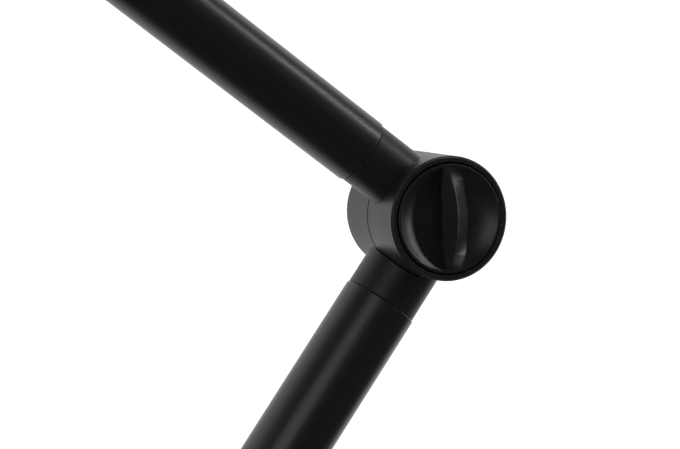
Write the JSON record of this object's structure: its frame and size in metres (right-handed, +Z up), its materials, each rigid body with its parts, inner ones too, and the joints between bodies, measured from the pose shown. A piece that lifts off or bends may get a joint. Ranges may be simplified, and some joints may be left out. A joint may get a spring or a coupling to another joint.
{
  "type": "articulated boom arm",
  "caption": "Desk-clamped articulated tube boom arm with friction hinges, dished hand knobs and a threaded mounting stud.",
  "frame": {"origin": "centre of the jaw pad's underside, on the desk top, on the riser's swivel axis", "axes": "+Z up along the swivel axis, +X towards the side the lower arm leans to, +Y away from the hand knobs, along the hinge axes"},
  "size_m": [0.4071, 0.058, 0.9118],
  "materials": {
    "cast_black": "matte black powder coat",
    "tube_black": "satin black anodised",
    "knuckle_black": "fine matte black coat on cast aluminium",
    "base_black": "satin black anodised, turned",
    "knob_black": "fine textured black plastic",
    "cap_black": "matte black plastic",
    "pad_rubber": "black rubber",
    "steel": "bright zinc-plated steel",
    "black_steel": "black oxide steel",
    "brass": "turned brass",
    "bush_plastic": "off-white bearing plastic",
    "friction_fibre": "brown friction fibre"
  },
  "bodies": {
    "clamp": {"clamp_frame": "cast_black", "jaw_pad": "pad_rubber", "swivel_bush": "bush_plastic", "bush_set_screw": "black_steel"},
    "foot": {"pressure_foot": "cast_black", "foot_pad": "pad_rubber"},
    "clamp_screw": {"clamp_screw": "steel", "clamp_knob": "knob_black", "roll_pin": "black_steel"},
    "riser": {"swivel_post": "steel", "retaining_ring": "black_steel", "riser_base": "base_black", "riser_tube": "tube_black", "riser_knuckle": "knuckle_black", "riser_screws": "black_steel", "shoulder_spring_washer": "steel"},
    "lower_arm": {"lower_shoulder_knuckle": "knuckle_black", "lower_tube": "tube_black", "lower_elbow_knuckle": "knuckle_black", "elbow_collar_cover": "knuckle_black", "lower_tube_screws": "black_steel", "shoulder_rear_cap": "cap_black", "shoulder_friction_disc": "friction_fibre", "shoulder_pivot_bush": "bush_plastic", "shoulder_pivot_bolt": "steel", "shoulder_stop_pin": "steel", "elbow_rear_cap": "cap_black", "elbow_friction_disc": "friction_fibre", "elbow_pivot_bush": "bush_plastic", "elbow_pivot_bolt": "steel", "elbow_stop_pin": "steel"},
    "upper_arm": {"upper_elbow_knuckle": "knuckle_black", "upper_tube": "tube_black", "upper_head_knuckle": "knuckle_black", "upper_tube_screws": "black_steel", "elbow_spring_washer": "steel", "head_spring_washer": "steel"},
    "head": {"head_knuckle": "knuckle_black", "mic_stud": "steel", "stud_lock_ring": "knob_black", "thread_adapter": "brass", "head_rear_cap": "cap_black", "head_friction_disc": "friction_fibre", "head_pivot_bush": "bush_plastic", "head_pivot_bolt": "steel", "head_stop_pin": "steel"},
    "shoulder_washer": {"shoulder_thrust_washer": "steel"},
    "shoulder_knob": {"shoulder_knob": "knob_black", "shoulder_knob_insert": "brass"},
    "elbow_washer": {"elbow_thrust_washer": "steel"},
    "elbow_knob": {"elbow_knob": "knob_black", "elbow_knob_insert": "brass"},
    "head_washer": {"head_thrust_washer": "steel"},
    "head_knob": {"head_knob": "knob_black", "head_knob_insert": "brass"}
  },
  "joints": [
    {"name": "foot_slide", "type": "slide", "parent": "clamp", "child": "foot", "axis": [0, 0, 1], "range_m": [-0.0245, 0.0198]},
    {"name": "screw_turn", "type": "hinge", "parent": "foot", "child": "clamp_screw", "pos_m": [0, 0, -0.1], "axis": [0, 0, 1], "range_deg": [-5045, 4080]},
    {"name": "riser_swivel", "type": "hinge", "parent": "clamp", "child": "riser", "pos_m": [0, 0, 0.03], "axis": [0, 0, 1], "continuous": true},
    {"name": "shoulder_tilt", "type": "hinge", "parent": "riser", "child": "lower_arm", "pos_m": [0, 0, 0.15], "axis": [0, 1, 0], "range_deg": [-50, 50]},
    {"name": "elbow_bend", "type": "hinge", "parent": "lower_arm", "child": "upper_arm", "pos_m": [0.2284, 0, 0.47838], "axis": [0, 1, 0], "range_deg": [-39, 88]},
    {"name": "head_tilt", "type": "hinge", "parent": "upper_arm", "child": "head", "pos_m": [-0.09318, 0, 0.71625], "axis": [0, 1, 0], "range_deg": [-85, 90]},
    {"name": "shoulder_washer_slide", "type": "slide", "parent": "riser", "child": "shoulder_washer", "axis": [0, -1, 0], "range_m": [0, 0.00187]},
    {"name": "shoulder_knob_turn", "type": "hinge", "parent": "shoulder_washer", "child": "shoulder_knob", "pos_m": [0, 0, 0.15], "axis": [0, -1, 0], "range_deg": [0, 541]},
    {"name": "elbow_washer_slide", "type": "slide", "parent": "upper_arm", "child": "elbow_washer", "axis": [0, -1, 0], "range_m": [0, 0.00187]},
    {"name": "elbow_knob_turn", "type": "hinge", "parent": "elbow_washer", "child": "elbow_knob", "pos_m": [0.2284, 0, 0.47838], "axis": [0, -1, 0], "range_deg": [0, 541]},
    {"name": "head_washer_slide", "type": "slide", "parent": "upper_arm", "child": "head_washer", "axis": [0, -1, 0], "range_m": [0, 0.00187]},
    {"name": "head_knob_turn", "type": "hinge", "parent": "head_washer", "child": "head_knob", "pos_m": [-0.09318, 0, 0.71625], "axis": [0, -1, 0], "range_deg": [0, 541]}
  ],
  "couplings": [
    {"joint": "screw_turn", "follows": "foot_slide", "rad_per_m": 3590.4},
    {"joint": "shoulder_knob_turn", "follows": "shoulder_washer_slide", "rad_per_m": 5026.5},
    {"joint": "elbow_knob_turn", "follows": "elbow_washer_slide", "rad_per_m": 5026.5},
    {"joint": "head_knob_turn", "follows": "head_washer_slide", "rad_per_m": 5026.5}
  ]
}
